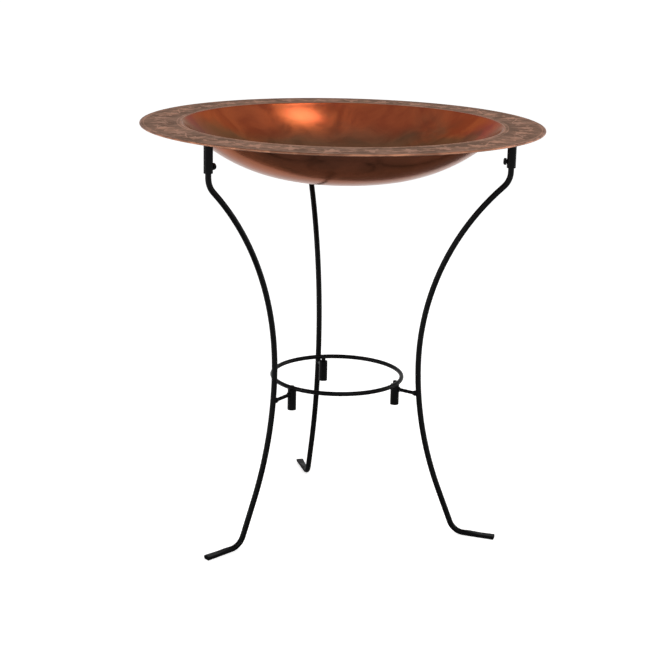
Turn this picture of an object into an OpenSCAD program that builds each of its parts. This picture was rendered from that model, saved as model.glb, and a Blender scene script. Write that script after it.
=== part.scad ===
// Three-legged bird bath: a spun copper dish with a flat rim, resting on a knock-down stand of bent black rod.
// The dish drops into the top ring. Each leg plugs up into a sleeve on that ring and is held by a clamp screw.
// Low down, each leg carries an arm with a socket tube, and the lower ring's pegs drop into those three sockets.
// Millimetres, +Z up, the origin on the floor under the middle of the dish. Leg 1 stands towards +Y.

/* [Overall] */
// Height from the floor to the top of the rim
overall_h = 571.5; // [540:0.5:600]
// Diameter of the circle round the three toe tips
foot_circle_d = 470; // [450:1:490]

/* [Dish] */
// Outside diameter of the rim
rim_d = 546; // [540:1:560]
// Height of the dish, from its underside to the top of the rim
dish_h = 76.2; // [70:0.1:82]
// Width of the flat rim
rim_w = 55; // [50:1:57]
// Thickness of the sheet
sheet_t = 1; // [0.8:0.1:1.2]
// Diameter of the rolled outer edge
edge_roll_d = 3; // [2.5:0.5:4]
// Slope at which the gently curved bottom turns into the wall, in degrees
bottom_slope = 4; // [3:0.5:8]
// Slope of the wall just under the rim, in degrees
wall_slope = 47; // [46:0.5:52]
// Inside radius of the bend from the wall to the rim, on the underside
rim_bend_r = 4; // [3:0.5:5]

/* [Top ring] */
// Diameter of the top ring's rod
top_rod_d = 8; // [7:0.5:8]
// Length of a leg sleeve
sleeve_l = 42; // [36:1:44]
// Outside diameter of a leg sleeve
sleeve_d = 12; // [11.5:0.1:13]
// Radius from the middle of the dish to a sleeve's axis
sleeve_r = 232.5; // [232:0.1:233.5]

/* [Clamp screws] */
// Thread diameter
screw_d = 5; // [4:0.5:5]
// Width of the hexagon head across its flats
screw_head_w = 8; // [7:0.5:8]
// Height of the head
screw_head_h = 3.5; // [2.8:0.1:4]
// Height of the screw's axis above the sleeve's lower end
screw_up = 8; // [7:0.5:10]

/* [Legs] */
// Diameter of the leg rod
leg_d = 8; // [7.5:0.1:8]
// Radius of the leg's waist, where it is nearest the middle
waist_r = 117; // [115:1:119]
// Bend radius of the shoulder under the sleeve
shoulder_bend_r = 28; // [24:1:32]
// Bend radius of the long upper bow
upper_bow_r = 358; // [350:1:366]
// Bend radius of the long lower bow
lower_bow_r = 480; // [460:10:500]
// How far the leg leans out under the lower bow, in degrees
lower_lean = 22; // [21:0.5:23]
// Bend radius of the heel
heel_bend_r = 22; // [18:1:26]
// Width to which the toe is hammered out at its tip
toe_w = 10.5; // [9:0.5:11]
// Thickness of the toe at its tip
toe_t = 5.8; // [5:0.1:7]

/* [Lower ring] */
// Radius of the lower ring's centre line
low_ring_r = 91; // [89:0.5:92]
// Height of the lower ring's centre line
low_ring_z = 216; // [212:1:220]
// Diameter of the lower ring's rod and of its pegs
low_rod_d = 6; // [5.5:0.1:6]
// Length of a ring peg
peg_l = 33; // [26:1:36]
// Outside diameter of a socket tube
socket_d = 12; // [11.5:0.1:12.5]
// Inside diameter of a socket tube
socket_bore = 7; // [6.8:0.1:7.4]
// Length of a socket tube
socket_l = 29; // [24:1:32]
// Diameter of the arm between a leg and its socket
arm_d = 5; // [4.5:0.1:5.5]

/* [Hidden] */
$fn = 96;

copper = [0.66, 0.33, 0.20];
black = [0.05, 0.05, 0.055];

rest_gap = 0.3;       // air between pieces that rest on each other
sleeve_clearance = 0.2; // round a leg inside its sleeve
thread_clearance = 0.05;
screw_tip_gap = 0.05; // between a clamp screw's tip and the leg it holds
head_gap = 0.8;       // under a clamp screw's head
edge_chamfer = 0.8;   // on a cut rod end
joint_gap = 0.1;      // each side of a joint between two lengths of a bent rod
joint_proud = 0.02;   // how far the collar over that joint stands proud
weld_r = 1.6;         // how far a weld bead swells past the rod it joins
weld_gap = 0.02;      // between a weld and the piece it is shaped to
weld_root = 0.3;      // between a ring and the tube or peg welded to it
peg_weld_d = 4.2;     // thickness of the weld between a peg and the lower ring
peg_weld_drop = 2.4;  // its centre below the ring's

// The dish: the underside is one shallow arc, one tighter arc and a reverse bend into the rim.
rim_r = rim_d / 2;
roll_r = edge_roll_d / 2;
rim_under_z = overall_h - sheet_t;
dish_bottom_z = overall_h - dish_h;
rim_start_r = rim_r - rim_w;
arc_reach_r = rim_start_r - rim_bend_r * sin(wall_slope);
arc_rise = dish_h - sheet_t - rim_bend_r * (1 - cos(wall_slope));
// The two arc radii solve the reach and the rise together.
k_sin = sin(wall_slope) - sin(bottom_slope);
k_cos = cos(bottom_slope) - cos(wall_slope);
arc_det = sin(bottom_slope) * k_cos - (1 - cos(bottom_slope)) * k_sin;
bottom_arc_r = (arc_reach_r * k_cos - arc_rise * k_sin) / arc_det;
wall_arc_r = (arc_rise * sin(bottom_slope) - arc_reach_r * (1 - cos(bottom_slope))) / arc_det;

// The top ring sits in the corner under the rim, close against the sleeves.
top_ring_r = sleeve_r - sleeve_d / 2 - weld_root - top_rod_d / 2;
top_ring_z = rim_under_z - rest_gap - top_rod_d / 2;
sleeve_top_z = top_ring_z + 1.5;
sleeve_bottom_z = sleeve_top_z - sleeve_l;
sleeve_bore = leg_d + 2 * sleeve_clearance;
screw_z = sleeve_bottom_z + screw_up;

// The leg: shoulder angle and heights follow from the waist, the bows and the foot circle.
shoulder_turn = acos(1 - (sleeve_r - waist_r) / (upper_bow_r + shoulder_bend_r));
lower_bow_drop = lower_bow_r * sin(lower_lean);
lower_bow_out = lower_bow_r * (1 - cos(lower_lean));
heel_drop = heel_bend_r * (1 - sin(lower_lean));
heel_out = heel_bend_r * cos(lower_lean);
shank_straight = 51;
waist_z = leg_d / 2 + heel_drop + shank_straight * cos(lower_lean) + lower_bow_drop;
shoulder_z = waist_z + (upper_bow_r + shoulder_bend_r) * sin(shoulder_turn);
leg_top_z = sleeve_top_z - 4;
heel_end_r = waist_r + lower_bow_out + shank_straight * sin(lower_lean) + heel_out;
toe_l = foot_circle_d / 2 - heel_end_r;
toe_stub = 3; // of plain rod inside the toe's root
// One row per bend, from the top of the leg down: straight before it, bend radius, turn towards the middle.
leg_bends = [
  [leg_top_z - shoulder_z, shoulder_bend_r, shoulder_turn],
  [0, upper_bow_r, -shoulder_turn],
  [0, lower_bow_r, -lower_lean],
  [shank_straight, heel_bend_r, lower_lean - 90],
  [toe_stub, 0, 0]
];

// The lower ring's pegs are welded low on its inner side and drop into the socket tubes, as far as the welds.
peg_r = low_ring_r - low_rod_d - weld_root;
peg_top_z = low_ring_z + 0.5;
peg_weld_z = low_ring_z - peg_weld_drop;
socket_top_z = peg_weld_z - peg_weld_d / 2 - rest_gap;
socket_z = socket_top_z - socket_l;
arm_socket_z = socket_top_z - 6.5;
arm_leg_z = arm_socket_z - 4;

// Places its children at leg i, counted from 1, turned so that +X points outwards.
module at_leg(i) {
  rotate([0, 0, 90 + 120 * (i - 1)]) children();
}

// A round bar along +Z with a chamfer on one or both ends.
module bar(d, l, chamfer_bottom = 0, chamfer_top = 0) {
  rotate_extrude()
    polygon([
      [0, 0], [d / 2 - chamfer_bottom, 0], [d / 2, chamfer_bottom],
      [d / 2, l - chamfer_top], [d / 2 - chamfer_top, l], [0, l]
    ]);
}

// Bends a rod of diameter d as a bender does, heading along -Z and bending in the XZ plane.
// A positive turn goes towards -X. The first end and the last end are chamfered.
// Neighbouring lengths stop just short of each other and a close collar joins them.
module bent_rod(d, bends, i = 0) {
  straight = bends[i][0];
  radius = bends[i][1];
  turn = bends[i][2];
  first = i == 0;
  last = i == len(bends) - 1;
  side = sign(turn);
  if (straight > 0) {
    from = first ? 0 : joint_gap;
    to = straight - (last ? 0 : joint_gap);
    translate([0, 0, -to])
      bar(d, to - from, last ? edge_chamfer : 0, first ? edge_chamfer : 0);
  }
  if (straight > 0 && !last) rod_joint(d, -straight);
  if (!last) {
    trim = joint_gap / radius * 180 / PI;
    translate([-side * radius, 0, -straight])
      rotate([90, 0, 0])
        rotate([0, 0, (side > 0 ? -turn : 180) + trim])
          rotate_extrude(angle = abs(turn) - 2 * trim)
            translate([radius, 0]) circle(d = d);
    translate([-side * radius, 0, -straight])
      rotate([0, turn, 0])
        translate([side * radius, 0, 0]) {
          rod_joint(d, 0);
          bent_rod(d, bends, i + 1);
        }
  }
}

// The collar over a joint at height z.
module rod_joint(d, z) {
  translate([0, 0, z - 4 * joint_gap]) cylinder(d = d + 2 * joint_proud, h = 8 * joint_gap);
}

// Points of an arc about c, from angle a0 to a1 in n steps.
function arc(c, r, a0, a1, n) =
  [for (k = [0 : n]) let (a = a0 + (a1 - a0) * k / n) [c[0] + r * cos(a), c[1] + r * sin(a)]];

// One face of the dish's sheet, from the middle to the rim's bend. off moves it up into the dish.
function dish_face(off) =
  let (
    c1 = [0, dish_bottom_z + bottom_arc_r],
    gap = bottom_arc_r - wall_arc_r,
    c2 = [gap * sin(bottom_slope), c1[1] - gap * cos(bottom_slope)],
    c3 = [rim_start_r, rim_under_z - rim_bend_r]
  )
  concat(
    arc(c1, bottom_arc_r - off, -90, bottom_slope - 90, 8),
    arc(c2, wall_arc_r - off, bottom_slope - 87, wall_slope - 90, 16),
    arc(c3, rim_bend_r + off, 85 + wall_slope, 90, 8)
  );

module bowl() {
  roll_c = [rim_r - roll_r, overall_h - roll_r];
  roll_meet = 180 - asin((roll_r - sheet_t) / roll_r);
  inside = dish_face(sheet_t);
  color(copper)
    rotate_extrude($fn = 180)
      polygon(concat(
        dish_face(0),
        arc(roll_c, roll_r, roll_meet, 450, 20),
        [for (k = [len(inside) - 1 : -1 : 0]) inside[k]]
      ));
}

// A closed ring of round rod, lying flat with its centre line at height z.
module rod_ring(r, d, z) {
  translate([0, 0, z])
    rotate_extrude($fn = 180) translate([r, 0]) circle(d = d, $fn = 48);
}

module top_ring() {
  color(black) rod_ring(top_ring_r, top_rod_d, top_ring_z);
}

// A short tube for the leg, with its tapped hole towards the middle and its weld bead onto the top ring.
module leg_sleeve(i) {
  color(black)
    difference() {
      at_leg(i) {
        difference() {
          union() {
            translate([sleeve_r, 0, sleeve_bottom_z]) cylinder(d = sleeve_d, h = sleeve_l);
            translate([top_ring_r, 0, top_ring_z])
              rotate([0, 90, 0]) cylinder(d = top_rod_d - 2.5, h = sleeve_r - top_ring_r - leg_d / 2 - 1);
          }
          translate([sleeve_r, 0, sleeve_bottom_z - 1]) cylinder(d = sleeve_bore, h = sleeve_l + 2);
          translate([sleeve_r - sleeve_d, 0, screw_z])
            rotate([0, 90, 0]) cylinder(d = screw_d + 2 * thread_clearance, h = sleeve_d);
        }
      }
      rod_ring(top_ring_r, top_rod_d + 2 * weld_gap, top_ring_z);
    }
}

// Hexagon-head clamp screw: its tip bears on the leg, its head faces the middle.
module clamp_screw(i) {
  tip_r = sleeve_r - leg_d / 2 - screw_tip_gap;
  head_r = sleeve_r - sleeve_d / 2 - head_gap;
  color(black)
    at_leg(i)
      translate([head_r, 0, screw_z])
        rotate([0, 90, 0]) {
          bar(screw_d, tip_r - head_r, 0, edge_chamfer);
          translate([0, 0, -screw_head_h])
            intersection() {
              cylinder(d = screw_head_w / cos(30), h = screw_head_h, $fn = 6);
              bar(screw_head_w / cos(30), screw_head_h, edge_chamfer, 0);
            }
        }
}

// The toe: the rod's end hammered out wide and flat, lying on the floor.
module toe() {
  root_d = leg_d + joint_gap;
  taper = toe_l * 0.55;
  translate([heel_end_r + joint_gap, 0, 0])
    intersection() {
      translate([0, 0, leg_d / 2])
        rotate([0, 90, 0]) cylinder(d1 = root_d, d2 = toe_w, h = toe_l - joint_gap);
      translate([0, toe_w, 0])
        rotate([90, 0, 0])
          linear_extrude(height = 2 * toe_w)
            polygon([
              [-1, 0], [toe_l - edge_chamfer, 0], [toe_l - joint_gap, edge_chamfer],
              [toe_l - joint_gap, toe_t - edge_chamfer], [toe_l - edge_chamfer, toe_t],
              [taper, toe_t], [0, root_d], [-1, root_d]
            ]);
    }
}

module leg(i) {
  color(black)
    at_leg(i) {
      translate([sleeve_r, 0, leg_top_z]) bent_rod(leg_d, leg_bends);
      toe();
    }
}

// The socket tube that takes a peg of the lower ring.
module peg_socket(i) {
  color(black)
    at_leg(i)
      translate([peg_r, 0, socket_z])
        difference() {
          cylinder(d = socket_d, h = socket_l);
          translate([0, 0, -1]) cylinder(d = socket_bore, h = socket_l + 2);
        }
}

// The arm from the leg to its socket, with a weld bead at each end, shaped to both.
module leg_arm(i) {
  leg_side = [waist_r + 1, arm_leg_z];
  socket_side = [peg_r, arm_socket_z];
  run = leg_side - socket_side;
  arm_l = norm(run);
  tilt = atan2(run[0], run[1]);
  bead_d = arm_d + 2 * weld_r;
  color(black)
    difference() {
      at_leg(i)
        translate([socket_side[0], 0, socket_side[1]])
          rotate([0, tilt, 0]) {
            cylinder(d = arm_d, h = arm_l);
            translate([0, 0, socket_d / 2]) cylinder(d1 = bead_d, d2 = arm_d, h = 2.4);
            translate([0, 0, arm_l - leg_d / 2 - 4]) cylinder(d1 = arm_d, d2 = bead_d, h = 4);
          }
      at_leg(i) {
        translate([peg_r, 0, socket_z - 5]) cylinder(d = socket_d + 2 * weld_gap, h = socket_l + 10);
        translate([waist_r + lower_bow_r, 0, waist_z])
          rotate([90, 0, 0])
            rotate([0, 0, 180])
              rotate_extrude(angle = lower_lean)
                translate([lower_bow_r, 0]) circle(d = leg_d + 2 * weld_gap);
      }
    }
}

module lower_ring() {
  color(black) rod_ring(low_ring_r, low_rod_d, low_ring_z);
}

// A peg welded to the inner side of the lower ring.
module ring_peg(i) {
  color(black)
    difference() {
      at_leg(i) {
        translate([peg_r, 0, peg_top_z - peg_l]) bar(low_rod_d, peg_l, edge_chamfer, edge_chamfer);
        translate([peg_r, 0, peg_weld_z])
          rotate([0, 90, 0]) cylinder(d = peg_weld_d, h = low_ring_r - peg_r - 1);
      }
      rod_ring(low_ring_r, low_rod_d + 2 * weld_gap, low_ring_z);
    }
}

bowl();
top_ring();
lower_ring();
for (i = [1 : 3]) {
  leg_sleeve(i);
  clamp_screw(i);
  leg(i);
  leg_arm(i);
  peg_socket(i);
  ring_peg(i);
}
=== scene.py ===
"""Looks for the three-legged bird bath: antiqued copper dish, black rod stand."""
import math

import bpy
import numpy as np
from mathutils import Matrix, Vector


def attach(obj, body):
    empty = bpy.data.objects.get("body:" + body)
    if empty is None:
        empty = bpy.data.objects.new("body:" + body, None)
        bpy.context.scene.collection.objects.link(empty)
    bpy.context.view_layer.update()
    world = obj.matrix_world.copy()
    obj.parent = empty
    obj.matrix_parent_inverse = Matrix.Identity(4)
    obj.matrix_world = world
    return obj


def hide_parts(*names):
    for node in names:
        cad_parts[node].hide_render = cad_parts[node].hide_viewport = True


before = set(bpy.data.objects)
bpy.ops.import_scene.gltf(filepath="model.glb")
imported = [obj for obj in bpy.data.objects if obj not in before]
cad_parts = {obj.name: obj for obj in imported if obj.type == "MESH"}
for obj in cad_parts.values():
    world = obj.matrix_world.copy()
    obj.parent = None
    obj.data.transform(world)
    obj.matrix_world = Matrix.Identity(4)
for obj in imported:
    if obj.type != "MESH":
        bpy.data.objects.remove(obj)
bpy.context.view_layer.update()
MM = 0.001

# ---------------------------------------------------------------- sizes, in mm
# The dish, as the CAD has it.
RIM_R = 273.0
TOP_Z = 571.5
DISH_H = 76.2
RIM_W = 55.0
SHEET = 1.0
ROLL_R = 1.5
BOTTOM_SLOPE = math.radians(4)
WALL_SLOPE = math.radians(47)
BEND_R = 4.0

# Its mesh.
RIM_SEGMENTS = 1440                  # round the rim
BASIN_SEGMENTS = RIM_SEGMENTS // 3   # round the basin; bridge() needs this ratio
BASIN_STEPS = (12, 40, 8)            # along the bottom, the wall and the bend to the rim
ROLL_STEPS = 16                      # round the rolled edge
RIM_RADII = np.concatenate([[219.2, 220.4], np.arange(221.3, 270.2, 0.92), [270.7]])
UNDER_RADII = np.arange(269.2, 224.0, -1.6)   # the rim's underside, from the roll inwards

# The embossed band on the rim.
BAND_IN, BAND_OUT = 221.6, 269.0
RELIEF = 0.55          # from the ground of the pattern to its highest points
PRESS_THROUGH = 0.22   # how much of it shows on the rim's underside
REPEATS = 16           # leaf-scroll repeats round the rim
WAVE = 9.5             # how far the scroll's stem swings to each side
PLAIN_LEVEL = 0.45     # height of the plain metal beside the band, as a share of RELIEF
PUNCH_R, PUNCH_COUNT = 2.1, 720   # grid of the punched ground: along the radius, and round the rim
PUNCH_SEED = 7

# Weld beads: distance from the stand's axis and height of each joint's middle.
SLEEVE_WELD = (226.2, 566.2)
PEG_WELD = (87.9, 213.6)
ARM_AT_SOCKET = (84.7, 204.7)
ARM_AT_LEG = (118.0, 200.7)
SOCKET_OFFSET, LEG_OFFSET = 6.4, 3.4   # from those middles to the beads, along the arm


# ---------------------------------------------------------------- small helpers
def new_object(name, verts, faces, smooth=True):
    mesh = bpy.data.meshes.new(name)
    mesh.from_pydata([tuple(v) for v in verts], [], faces)
    mesh.validate(clean_customdata=False)
    mesh.update()
    mesh.polygons.foreach_set("use_smooth", [smooth] * len(mesh.polygons))
    obj = bpy.data.objects.new(name, mesh)
    bpy.context.scene.collection.objects.link(obj)
    return obj


def smoothstep(a, b, x):
    """0 at a, 1 at b, with a soft start and end; b may be below a."""
    t = np.clip((x - a) / (b - a), 0, 1)
    return t * t * (3 - 2 * t)


class Nodes:
    """A short way to write a node tree."""

    def __init__(self, tree):
        self.tree = tree

    def add(self, kind, inputs=None, **attrs):
        n = self.tree.nodes.new(kind)
        for k, v in attrs.items():
            setattr(n, k, v)
        for k, v in (inputs or {}).items():
            self.put(n, k, v)
        return n

    def put(self, n, key, value):
        socket = n.inputs[key]
        if isinstance(value, bpy.types.NodeSocket):
            self.tree.links.new(value, socket)
        elif isinstance(value, bpy.types.Node):
            self.tree.links.new(value.outputs[0], socket)
        else:
            socket.default_value = value

    def math(self, op, a, b=0.0, clamp=False):
        return self.add("ShaderNodeMath", {0: a, 1: b}, operation=op, use_clamp=clamp).outputs[0]

    def remap(self, value, a, b, c=0.0, d=1.0, smooth=True):
        """Takes a..b to c..d, clamped."""
        n = self.add("ShaderNodeMapRange", {"Value": value, "From Min": a, "From Max": b,
                                            "To Min": c, "To Max": d})
        n.interpolation_type = "SMOOTHSTEP" if smooth else "LINEAR"
        return n.outputs[0]

    def mix(self, fac, a, b):
        n = self.add("ShaderNodeMix", data_type="RGBA", blend_type="MIX")
        for key, value in ((0, fac), (6, a), (7, b)):
            if isinstance(value, tuple) and len(value) == 3:
                value = (*value, 1.0)
            self.put(n, key, value)
        return n.outputs[2]

    def noise(self, vector, scale, detail=4.0, roughness=0.5, distortion=0.0):
        n = self.add("ShaderNodeTexNoise", {"Vector": vector, "Scale": scale, "Detail": detail,
                                            "Roughness": roughness, "Distortion": distortion})
        return n.outputs[0]

    def bump(self, shader, strength, distance, height):
        n = self.add("ShaderNodeBump", {"Strength": strength, "Distance": distance})
        self.put(n, "Height", height)
        self.put(shader, "Normal", n)


def empty_nodes(owner):
    """Clears the node tree of a material or a world."""
    owner.use_nodes = True
    owner.node_tree.nodes.clear()
    return Nodes(owner.node_tree)


def material(name):
    """A new material, its nodes, its Principled shader and its object coordinates."""
    m = bpy.data.materials.new(name)
    n = empty_nodes(m)
    out = n.add("ShaderNodeOutputMaterial")
    shader = n.add("ShaderNodeBsdfPrincipled")
    n.put(out, "Surface", shader)
    return m, n, shader, n.add("ShaderNodeTexCoord").outputs["Object"]


def set_metal(shader, metallic, tint):
    """Metal with its reflections at the edge tinted, so that they don't go white."""
    shader.inputs["Metallic"].default_value = metallic
    shader.inputs["Specular Tint"].default_value = (*tint, 1.0)


def set_coat(shader, weight, roughness):
    shader.inputs["Coat Weight"].default_value = weight
    shader.inputs["Coat Roughness"].default_value = roughness


def paint(obj, mat):
    obj.data.materials.clear()
    obj.data.materials.append(mat)


# ---------------------------------------------------------------- materials
def copper_rim():
    """Embossed rim: brown patina in the ground, rubbed pink-brown copper on the high parts."""
    m, n, s, co = material("antique_copper_rim")
    height = n.add("ShaderNodeSeparateXYZ", {0: co}).outputs[2]
    raised = n.remap(height, (TOP_Z - RELIEF * 0.95) * MM, (TOP_Z - RELIEF * 0.12) * MM)
    blotch = n.noise(co, 38.0, 5.0, 0.6, 0.4)
    fine = n.noise(co, 260.0, 6.0, 0.72)
    # how far the patina is rubbed away: the relief, broken up by large and small stains
    rub = n.math("ADD", raised, n.remap(blotch, 0.35, 0.68, -0.28, 0.26))
    rub = n.math("ADD", rub, n.remap(fine, 0.32, 0.68, -0.34, 0.34), clamp=True)
    ground = n.mix(n.remap(blotch, 0.36, 0.64), (0.20, 0.122, 0.090), (0.31, 0.188, 0.142))
    drift = n.remap(n.noise(co, 17.0, 3.0), 0.38, 0.62)
    high = n.mix(drift, (0.54, 0.315, 0.235), (0.64, 0.36, 0.26))
    n.put(s, "Base Color", n.mix(rub, ground, high))
    set_metal(s, 0.85, (0.80, 0.60, 0.50))
    n.put(s, "Roughness", n.math("ADD", n.remap(rub, 0.0, 1.0, 0.60, 0.46),
                                 n.remap(fine, 0.3, 0.7, -0.05, 0.05)))
    stipple = n.add("ShaderNodeTexVoronoi", {"Vector": co, "Scale": 900.0}, feature="SMOOTH_F1")
    n.bump(s, 0.35, 0.00025, n.math("ADD", n.math("MULTIPLY", stipple.outputs[0], 0.6),
                                    n.math("MULTIPLY", fine, 0.5)))
    return m


def copper_basin():
    """Spun basin: orange-red wall, olive brown bottom, faint turning marks."""
    m, n, s, co = material("burnished_copper_basin")
    x, y = n.add("ShaderNodeSeparateXYZ", {0: co}).outputs[:2]
    r = n.math("SQRT", n.math("ADD", n.math("MULTIPLY", x, x), n.math("MULTIPLY", y, y)))
    warp = n.noise(co, 9.0, 3.0, 0.5, 0.6)
    blotch = n.noise(co, 21.0, 5.0, 0.6, 0.8)
    # the wall's colour starts at an uneven distance from the middle, in metres
    wall = n.remap(n.math("ADD", r, n.remap(warp, 0.3, 0.7, -0.022, 0.022)), 0.160, 0.213)
    bottom = n.mix(n.remap(blotch, 0.35, 0.65), (0.21, 0.088, 0.044), (0.30, 0.130, 0.068))
    side = n.mix(n.remap(blotch, 0.32, 0.68), (0.46, 0.082, 0.029), (0.62, 0.135, 0.046))
    n.put(s, "Base Color", n.mix(wall, bottom, side))
    set_metal(s, 1.0, (0.46, 0.31, 0.17))
    n.put(s, "Roughness", n.remap(blotch, 0.3, 0.7, 0.20, 0.27))
    set_coat(s, 0.30, 0.18)
    rings = n.add("ShaderNodeTexNoise", {"W": n.math("MULTIPLY", r, 260.0), "Scale": 1.0,
                                         "Detail": 1.0}, noise_dimensions="1D")
    dimples = n.noise(co, 34.0, 1.0, 0.5)
    n.bump(s, 0.12, 0.0004, n.math("ADD", n.math("MULTIPLY", rings.outputs[0], 0.08),
                                   n.math("MULTIPLY", dimples, 0.8)))
    return m


def copper_underside():
    """Lacquered brown underside: dark metal under a thin clear coat."""
    m, n, s, co = material("lacquered_copper_underside")
    warp = n.noise(co, 11.0, 4.0, 0.55, 0.8)
    fine = n.noise(co, 160.0, 4.0, 0.6)
    colour = n.mix(n.remap(warp, 0.34, 0.66), (0.32, 0.118, 0.068), (0.46, 0.156, 0.086))
    colour = n.mix(n.remap(fine, 0.55, 0.75, 0.0, 0.35), colour, (0.15, 0.06, 0.04))
    n.put(s, "Base Color", colour)
    set_metal(s, 1.0, (0.48, 0.37, 0.33))
    n.put(s, "Roughness", n.remap(warp, 0.3, 0.7, 0.15, 0.21))
    set_coat(s, 0.15, 0.15)
    n.bump(s, 0.15, 0.0004, n.noise(co, 60.0, 3.0, 0.5))
    return m


def copper_edge():
    """Rolled outer edge: brown, rubbed lighter in places."""
    m, n, s, co = material("bright_copper_edge")
    blotch = n.noise(co, 45.0, 4.0, 0.6)
    rubbed = n.remap(blotch, 0.38, 0.66)
    n.put(s, "Base Color", n.mix(rubbed, (0.24, 0.11, 0.068), (0.44, 0.20, 0.12)))
    s.inputs["Metallic"].default_value = 0.95
    n.put(s, "Roughness", n.remap(blotch, 0.3, 0.7, 0.52, 0.42))
    n.bump(s, 0.2, 0.0003, n.noise(co, 300.0, 3.0, 0.6))
    return m


def black_coat(name, base, rough_low, rough_high, peel):
    """Black coat with faint clouds and a slight orange peel."""
    m, n, s, co = material(name)
    cloud = n.noise(co, 30.0, 4.0, 0.6)
    grain = n.noise(co, 900.0, 3.0, 0.55)
    n.put(s, "Base Color", n.mix(n.remap(cloud, 0.3, 0.7), base, tuple(c * 1.7 for c in base)))
    s.inputs["Metallic"].default_value = 0.0
    n.put(s, "Roughness", n.math("ADD", n.remap(cloud, 0.3, 0.7, rough_low, rough_high),
                                 n.remap(grain, 0.3, 0.7, -0.04, 0.04)))
    s.inputs["Specular IOR Level"].default_value = 0.06
    n.bump(s, peel, 0.0002, grain)
    return m


# ---------------------------------------------------------------- the dish
def dish_sections():
    """Centre and radius of the basin's two arcs and of the bend to the rim, on the underside."""
    start = RIM_R - RIM_W
    reach = start - BEND_R * math.sin(WALL_SLOPE)
    rise = DISH_H - SHEET - BEND_R * (1 - math.cos(WALL_SLOPE))
    sb, cb = math.sin(BOTTOM_SLOPE), math.cos(BOTTOM_SLOPE)
    sw, cw = math.sin(WALL_SLOPE), math.cos(WALL_SLOPE)
    det = sb * (cb - cw) - (1 - cb) * (sw - sb)
    r1 = (reach * (cb - cw) - rise * (sw - sb)) / det
    r2 = (rise * sb - reach * (1 - cb)) / det
    z0 = TOP_Z - DISH_H
    c1 = (0.0, z0 + r1)
    c2 = ((r1 - r2) * sb, c1[1] - (r1 - r2) * cb)
    c3 = (start, TOP_Z - SHEET - BEND_R)
    return (c1, r1), (c2, r2), (c3, BEND_R)


def basin_face(offset):
    """(r, z) points of the face that lies offset above the sheet's underside, going outwards."""
    (c1, r1), (c2, r2), (c3, r3) = dish_sections()
    # centre, radius, the side of the centre that the arc is on, first and last slope
    arcs = ((c1, r1 - offset, 1, 0, BOTTOM_SLOPE), (c2, r2 - offset, 1, BOTTOM_SLOPE, WALL_SLOPE),
            (c3, r3 + offset, -1, WALL_SLOPE, 0))
    return [(c[0] + side * r * math.sin(t), c[1] - side * r * math.cos(t))
            for (c, r, side, first, last), steps in zip(arcs, BASIN_STEPS, strict=True)
            for t in np.linspace(first, last, steps + 1)[1:]]


def leaf(s, v, at, angle, length, width, lobes):
    """Height 0 to 1 of one leaf on the (s, v) plane: a dome with a midrib, veins and lobes."""
    ca, sa = math.cos(angle), math.sin(angle)
    x = (s - at[0]) * ca + (v - at[1]) * sa
    y = -(s - at[0]) * sa + (v - at[1]) * ca
    t = np.clip(x / length, 0, 1)
    half = width * np.sin(math.pi * t ** 0.72) ** 0.85
    half = half * (0.80 + 0.20 * np.abs(np.sin(math.pi * lobes * t)))
    inside = 1 - np.abs(y) / np.maximum(half, 1e-3)
    inside = np.where((x <= 0) | (x >= length), -1, inside)
    dome = smoothstep(0.0, 0.42, inside)
    rib = 0.42 * np.exp(-((y / 0.55) ** 2)) * smoothstep(0, 0.2, t)
    vein = 0.16 * (0.5 + 0.5 * np.cos((x - 0.9 * np.abs(y)) * 2 * math.pi / 2.9))
    vein = vein * smoothstep(0.5, 1.4, np.abs(y))
    return np.clip(dome * (0.92 - rib - vein), 0, 1)


def berry(s, v, at, radius):
    d = np.hypot(s - at[0], v - at[1]) / radius
    return np.sqrt(np.clip(1 - d * d, 0, 1))


def relief_tile(s, v, pitch):
    """Height 0 to 1 of one repeat of a generic leaf scroll.

    s runs along the rim from 0 to pitch and v runs across it, in mm.
    """
    k = 2 * math.pi / pitch

    def stem_at(t):
        return WAVE * math.sin(k * t)

    slope = WAVE * k * np.cos(k * s)
    d = (v - WAVE * np.sin(k * s)) / np.sqrt(1 + slope * slope)
    h = 0.88 * np.exp(-((d / 1.25) ** 2))
    for wrap in (-pitch, 0, pitch):
        sw = s + wrap
        for side in (1, -1):
            c = pitch * (0.25 if side > 0 else 0.75)
            # a five-leaf spray in the hollow of each wave, fanning from the stem
            root = (c + 1.0, stem_at(c) - side * 3.2)
            for turn, size in ((-90, 21.0), (-48, 16.0), (-132, 16.0), (-16, 12.0), (-164, 12.0)):
                angle = side * math.radians(turn)
                h = np.maximum(h, leaf(sw, v, root, angle, size, size * 0.25, 5))
            h = np.maximum(h, 0.95 * berry(sw, v, (root[0], root[1] + side * 1.2), 2.3))
            # leaves on the outer side of the crest
            for off, turn, size in ((-15.0, 152, 13.0), (-3.0, 118, 10.0),
                                    (8.0, 62, 10.0), (19.0, 28, 13.0)):
                p = (c + off, stem_at(c + off))
                angle = side * math.radians(turn)
                h = np.maximum(h, leaf(sw, v, p, angle, size, size * 0.24, 4))
            # three berries near each place where the wave crosses the middle
            for off in (-22.5, 22.5):
                p = (c + off, stem_at(c + off) - side * 7.5)
                h = np.maximum(h, 0.8 * berry(sw, v, p, 1.9))
                for beside in (3.4, -3.4):
                    h = np.maximum(h, 0.7 * berry(sw, v, (p[0] + beside, p[1] + side * 1.4), 1.5))
    return h


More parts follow.
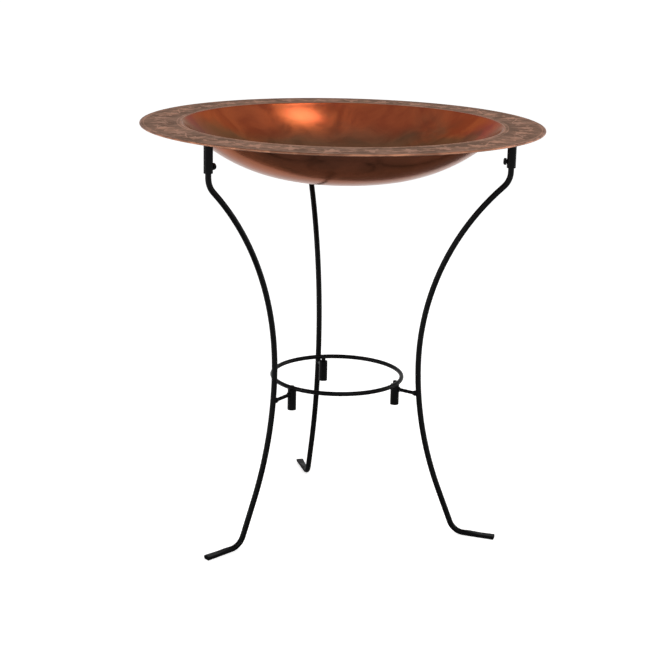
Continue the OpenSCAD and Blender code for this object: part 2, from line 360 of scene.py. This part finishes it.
def punched_ground(radii):
    """Soft random dimples, 0 to 1, that don't repeat round the rim."""
    rows = max(8, int((radii[-1] - radii[0]) / PUNCH_R))
    coarse = np.random.default_rng(PUNCH_SEED).random((rows, PUNCH_COUNT))
    ai = np.linspace(0, PUNCH_COUNT, RIM_SEGMENTS, endpoint=False)
    ri = np.clip((radii - radii[0]) / PUNCH_R, 0, rows - 1.001)
    a0, r0 = ai.astype(int), ri.astype(int)
    a1, r1 = (a0 + 1) % PUNCH_COUNT, np.minimum(r0 + 1, rows - 1)
    fa, fr = ai - a0, ri - r0
    fa, fr = fa * fa * (3 - 2 * fa), fr * fr * (3 - 2 * fr)
    near = coarse[r0][:, a0] * (1 - fa) + coarse[r0][:, a1] * fa
    far = coarse[r1][:, a0] * (1 - fa) + coarse[r1][:, a1] * fa
    return near * (1 - fr)[:, None] + far * fr[:, None]


def rim_relief(radii):
    """Height 0 to 1 at each radius and each of RIM_SEGMENTS angles. The radii go outwards."""
    mid = (BAND_IN + BAND_OUT) / 2
    half = (BAND_OUT - BAND_IN) / 2
    pitch = 2 * math.pi * mid / REPEATS
    steps = RIM_SEGMENTS // REPEATS
    s = (np.arange(steps) / steps * pitch)[None, :]
    v = radii[:, None] - mid
    tile = relief_tile(s, v, pitch)
    # the pattern is held between two raised lines, and fades to plain metal beyond them
    inside = smoothstep(half + 0.4, half - 1.6, np.abs(v))
    line = np.exp(-(((np.abs(v) - (half - 1.2)) / 0.9) ** 2))
    tile = np.maximum(tile * inside, 0.75 * line)
    plain = smoothstep(half - 0.6, half + 0.8, np.abs(v))
    h = np.tile(tile + (PLAIN_LEVEL - tile) * plain, (1, REPEATS))
    return np.clip(h + 0.20 * punched_ground(radii) * (1 - smoothstep(0.05, 0.35, h)), 0, 1)


def ring_points(r, z, count):
    a = np.arange(count) * (2 * math.pi / count)
    r, z = np.broadcast_to(r, count), np.broadcast_to(z, count)
    return np.stack([r * np.cos(a), r * np.sin(a), z], 1)


def build_dish():
    points, faces, mats = [], [], []
    rim, basin, under, edge = range(4)   # the materials' places on the mesh

    def add_ring(ring):
        """Adds points and gives the number of the first and how many there are."""
        start = sum(map(len, points))
        points.append(ring)
        return start, len(ring)

    def add_face(mat, *corners):
        faces.append(corners)
        mats.append(mat)

    def bridge(a, b, mat):
        """Joins ring a to ring b. Where one has three times the points, three meet one."""
        (ia, na), (ib, nb) = a, b
        count = min(na, nb)
        for k in range(count):
            j = (k + 1) % count
            if na == nb:
                add_face(mat, ia + k, ib + k, ib + j, ia + j)
            elif nb == 3 * na:
                f = [ib + (3 * k + q) % nb for q in range(4)]
                add_face(mat, ia + k, f[0], f[1])
                add_face(mat, ia + k, f[1], f[2], ia + j)
                add_face(mat, ia + j, f[2], f[3])
            else:
                f = [ia + (3 * k + q) % na for q in range(4)]
                add_face(mat, f[0], ib + k, f[1])
                add_face(mat, f[1], ib + k, ib + j, f[2])
                add_face(mat, f[2], ib + j, f[3])

    def grow(ring, r, z, count, mat):
        """Adds a ring at radius r and height z, joined to the ring before it."""
        new = add_ring(ring_points(r, z, count))
        bridge(ring, new, mat)
        return new

    # inside face, from the middle outwards
    inside = basin_face(SHEET)
    middle = add_ring(np.array([[0.0, 0.0, TOP_Z - DISH_H + SHEET]]))[0]
    ring = add_ring(ring_points(*inside[0], BASIN_SEGMENTS))
    for k in range(BASIN_SEGMENTS):
        add_face(basin, middle, ring[0] + k, ring[0] + (k + 1) % BASIN_SEGMENTS)
    for r, z in inside[1:]:
        ring = grow(ring, r, z, BASIN_SEGMENTS, basin)
    # the rim's top face
    for r, h in zip(RIM_RADII, rim_relief(RIM_RADII), strict=True):
        ring = grow(ring, r, TOP_Z - RELIEF * (1 - h), RIM_SEGMENTS, rim)
    # the rolled edge, from the top round to the sheet's underside
    roll_r, roll_z = RIM_R - ROLL_R, TOP_Z - ROLL_R
    meet = math.pi - math.asin((ROLL_R - SHEET) / ROLL_R)
    for t in np.linspace(math.pi / 2 + 0.15, meet - 2 * math.pi, ROLL_STEPS):
        ring = grow(ring, roll_r + ROLL_R * math.cos(t), roll_z + ROLL_R * math.sin(t),
                    RIM_SEGMENTS, edge)
    # the rim's underside, where the pattern shows through faintly
    press = rim_relief(UNDER_RADII[::-1])[::-1]
    for r, h in zip(UNDER_RADII, press, strict=True):
        fade = float(smoothstep(228.0, 233.0, r) * smoothstep(269.0, 265.5, r))
        ring = grow(ring, r, TOP_Z - SHEET - PRESS_THROUGH * fade * (1 - h), RIM_SEGMENTS, under)
    # the underside of the basin, back to the middle
    for r, z in basin_face(0.0)[::-1]:
        ring = grow(ring, r, z, BASIN_SEGMENTS, under)
    bottom = add_ring(np.array([[0.0, 0.0, TOP_Z - DISH_H]]))[0]
    for k in range(BASIN_SEGMENTS):
        add_face(under, bottom, ring[0] + (k + 1) % BASIN_SEGMENTS, ring[0] + k)

    dish = new_object("dish_embossed", np.concatenate(points) * MM, faces)
    dish.data.polygons.foreach_set("material_index", mats)
    for mat in (copper_rim(), copper_basin(), copper_underside(), copper_edge()):
        dish.data.materials.append(mat)
    dish.data.update()
    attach(dish, "dish")
    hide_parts("bowl")


# ---------------------------------------------------------------- weld beads
def weld_loop(name, centre, normal, radius, bead, ripples, body, mat):
    """A closed weld bead round a joint, with the ripples a weld leaves."""
    n_path, n_side = ripples * 6, 12
    u = normal.orthogonal().normalized()
    w = normal.cross(u)
    verts, faces = [], []
    for i in range(n_path):
        a = 2 * math.pi * i / n_path
        out = u * math.cos(a) + w * math.sin(a)
        # one bump a ripple, and a slow change round the bead
        bumps = 0.20 * abs(math.sin(ripples * a / 2)) + 0.05 * math.sin(3 * a + 1.0)
        swell = bead * (0.86 + bumps)
        a0, a1 = i * n_side, ((i + 1) % n_path) * n_side
        for k in range(n_side):
            b = 2 * math.pi * k / n_side
            side = out * math.cos(b) + normal * math.sin(b)
            verts.append((centre + out * radius + side * swell) * MM)
            k1 = (k + 1) % n_side
            faces.append((a0 + k, a1 + k, a1 + k1, a0 + k1))
    obj = new_object(name, verts, faces)
    paint(obj, mat)
    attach(obj, body)


def build_welds(mat):
    """Four beads for each leg. Each has its radius, its thickness and its number of ripples."""
    for i in (1, 2, 3):
        a = math.radians(90 + 120 * (i - 1))
        out = Vector((math.cos(a), math.sin(a), 0))
        sleeve, peg, socket, leg = (out * r + Vector((0, 0, z)) for r, z in
                                    (SLEEVE_WELD, PEG_WELD, ARM_AT_SOCKET, ARM_AT_LEG))
        arm = (leg - socket).normalized()
        unit = f"leg_unit_{i}"
        for name, centre, normal, radius, bead, ripples, body in (
            ("sleeve", sleeve, out, 2.7, 1.15, 12, "stand_head"),
            ("peg", peg, out, 1.6, 0.70, 9, "lower_shelf"),
            ("arm_socket", socket + arm * SOCKET_OFFSET, arm, 2.7, 0.95, 10, unit),
            ("arm_leg", leg - arm * LEG_OFFSET, arm, 2.9, 1.05, 10, unit),
        ):
            weld_loop(f"weld_{name}_{i}", centre, normal, radius, bead, ripples, body, mat)


# ---------------------------------------------------------------- stage, light and camera, in m
# The camera stands in front, a little left of the gap between legs 2 and 3.
CAM_TURN = 0.240       # round the object, radians
CAM_DISTANCE = 2.115
CAM_HEIGHT = 0.860
CAM_YAW, CAM_PITCH, CAM_ROLL = -0.0086, 0.2642, 0.0210   # radians
CAM_LENS = 86.8        # mm, on a sensor 36 mm wide

FLOOR_HALF = 9.0
FLOOR_GLOW = 0.62      # brings the floor up to the background's white
# Outline of the grey card of painted shade: x to the camera's right, y away from it.
CARD_OUTLINE = [(-0.46, -0.70), (0.62, -0.70), (0.62, 1.20), (0.30, 0.78), (0.0, 0.50),
                (-0.25, 0.42), (-0.46, 0.46)]
CARD_LIFT = 0.001      # above the floor
CARD_SHADE_NEAR, CARD_SHADE_FAR = (-0.25, 0.13), (0.45, 0.28)   # distance from the middle, brightness there; painted shade, dimmest towards the middle where the dish shades the floor
SKY_HORIZON, SKY_ZENITH = 0.78, 0.36


def build_floor():
    e = FLOOR_HALF
    corners = [(-e, -e, 0), (e, -e, 0), (e, e, 0), (-e, e, 0)]
    floor = new_object("floor", corners, [(0, 1, 2, 3)], smooth=False)
    m = bpy.data.materials.new("pale_floor")
    n = empty_nodes(m)
    out = n.add("ShaderNodeOutputMaterial")
    diffuse = n.add("ShaderNodeBsdfDiffuse", {"Color": (0.9, 0.9, 0.9, 1.0)})
    glow = n.add("ShaderNodeEmission", {"Color": (1, 1, 1, 1), "Strength": FLOOR_GLOW})
    both = n.add("ShaderNodeAddShader", {0: diffuse.outputs[0], 1: glow.outputs[0]})
    n.put(out, "Surface", both)
    paint(floor, m)


def build_card():
    """A glowing grey card on the floor that only reflections see: painted shade of the floor under
    the dish, which keeps the dish's underside dark.
    """
    turn = Matrix.Rotation(-CAM_TURN, 3, "Z")
    corners = [turn @ Vector((x, y, CARD_LIFT)) for x, y in CARD_OUTLINE]
    card = new_object("floor_card", corners, [range(len(corners))], smooth=False)
    m = bpy.data.materials.new("painted_floor_shade")
    n = empty_nodes(m)
    out = n.add("ShaderNodeOutputMaterial")
    where = n.add("ShaderNodeNewGeometry").outputs["Position"]
    depth = n.add("ShaderNodeVectorMath", {0: where, 1: turn @ Vector((0, 1, 0))},
                  operation="DOT_PRODUCT").outputs["Value"]
    (near, dark), (far, light) = CARD_SHADE_NEAR, CARD_SHADE_FAR
    # painted shadow: the card's glow is lowest near the middle, under the dish, and rises further
    # out
    glow = n.remap(depth, near, far, dark, light, smooth=False)
    emission = n.add("ShaderNodeEmission", {"Color": (1.0, 0.97, 0.96, 1), "Strength": glow})
    n.put(out, "Surface", emission)
    paint(card, m)
    for ray in ("camera", "diffuse", "transmission", "volume_scatter", "shadow"):
        setattr(card, "visible_" + ray, False)


def build_sky():
    """White where the camera looks, and a soft grey gradient for everything else."""
    world = bpy.data.worlds.new("studio")
    bpy.context.scene.world = world
    n = empty_nodes(world)
    out = n.add("ShaderNodeOutputWorld")
    way = n.add("ShaderNodeTexCoord").outputs["Generated"]
    height = n.add("ShaderNodeSeparateXYZ", {0: way}).outputs[2]
    sky = n.mix(n.remap(height, 0.0, 0.9), (SKY_HORIZON,) * 3, (SKY_ZENITH,) * 3)
    seen = n.add("ShaderNodeLightPath").outputs["Is Camera Ray"]
    soft = n.add("ShaderNodeBackground", {"Color": sky, "Strength": 1.0}).outputs[0]
    white = n.add("ShaderNodeBackground", {"Color": (1, 1, 1, 1), "Strength": 1.05}).outputs[0]
    n.put(out, "Surface", n.add("ShaderNodeMixShader", {0: seen, 1: soft, 2: white}))


def area_light(name, place, aim_z, size, power, height=None, colour=(1.0, 1.0, 1.0)):
    """A disk aimed at the object's axis at aim_z, or a rectangle if height is given; in W."""
    data = bpy.data.lights.new(name, "AREA")
    data.energy = power
    data.color = colour
    data.shape = "RECTANGLE" if height else "DISK"
    data.size = size
    if height:
        data.size_y = height
    obj = bpy.data.objects.new(name, data)
    bpy.context.scene.collection.objects.link(obj)
    obj.location = place
    aim = Vector((0, 0, aim_z)) - Vector(place)
    obj.rotation_euler = aim.to_track_quat("-Z", "Y").to_euler()


def build_lights():
    # the small warm key makes the bright spot on the basin's back wall
    area_light("key_top", (0.51, 0.19, 2.4), 0.5, 0.40, 2.0, colour=(1.0, 0.95, 0.74))
    area_light("fill_front", (0.8, -2.6, 2.6), 0.4, 2.2, 40)
    area_light("strip_left", (-2.2, -0.4, 0.9), 0.35, 0.5, 16, height=1.8)
    area_light("strip_right", (2.2, 0.2, 0.9), 0.35, 0.5, 10, height=1.8)


def build_camera():
    data = bpy.data.cameras.new("camera")
    data.sensor_width = 36.0
    data.lens = CAM_LENS
    data.clip_end = 60.0
    cam = bpy.data.objects.new("camera", data)
    bpy.context.scene.collection.objects.link(cam)
    level = Vector((math.sin(CAM_YAW), math.cos(CAM_YAW), 0))
    fwd = level * math.cos(CAM_PITCH) - Vector((0, 0, math.sin(CAM_PITCH)))
    right = Vector((math.cos(CAM_YAW), -math.sin(CAM_YAW), 0))
    up = right.cross(fwd)
    rolled_right = right * math.cos(CAM_ROLL) + up * math.sin(CAM_ROLL)
    rolled_up = up * math.cos(CAM_ROLL) - right * math.sin(CAM_ROLL)
    aim = Matrix((rolled_right, rolled_up, -fwd)).transposed().to_4x4()
    place = Matrix.Translation((0, -CAM_DISTANCE, CAM_HEIGHT))
    cam.matrix_world = Matrix.Rotation(-CAM_TURN, 4, "Z") @ place @ aim
    bpy.context.scene.camera = cam


# ---------------------------------------------------------------- all together
build_camera()
build_floor()
build_card()
build_sky()
build_lights()
stand_coat = black_coat("semi_gloss_black", (0.0020, 0.0020, 0.0022), 0.26, 0.38, 0.10)
screw_coat = black_coat("black_oxide", (0.0032, 0.0032, 0.0035), 0.32, 0.42, 0.06)
build_dish()
build_welds(stand_coat)
for name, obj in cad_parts.items():
    if name != "bowl":
        paint(obj, screw_coat if name.startswith("clamp_screw") else stand_coat)
bpy.context.scene.view_settings.view_transform = "Standard"
bpy.context.scene.view_settings.look = "None"
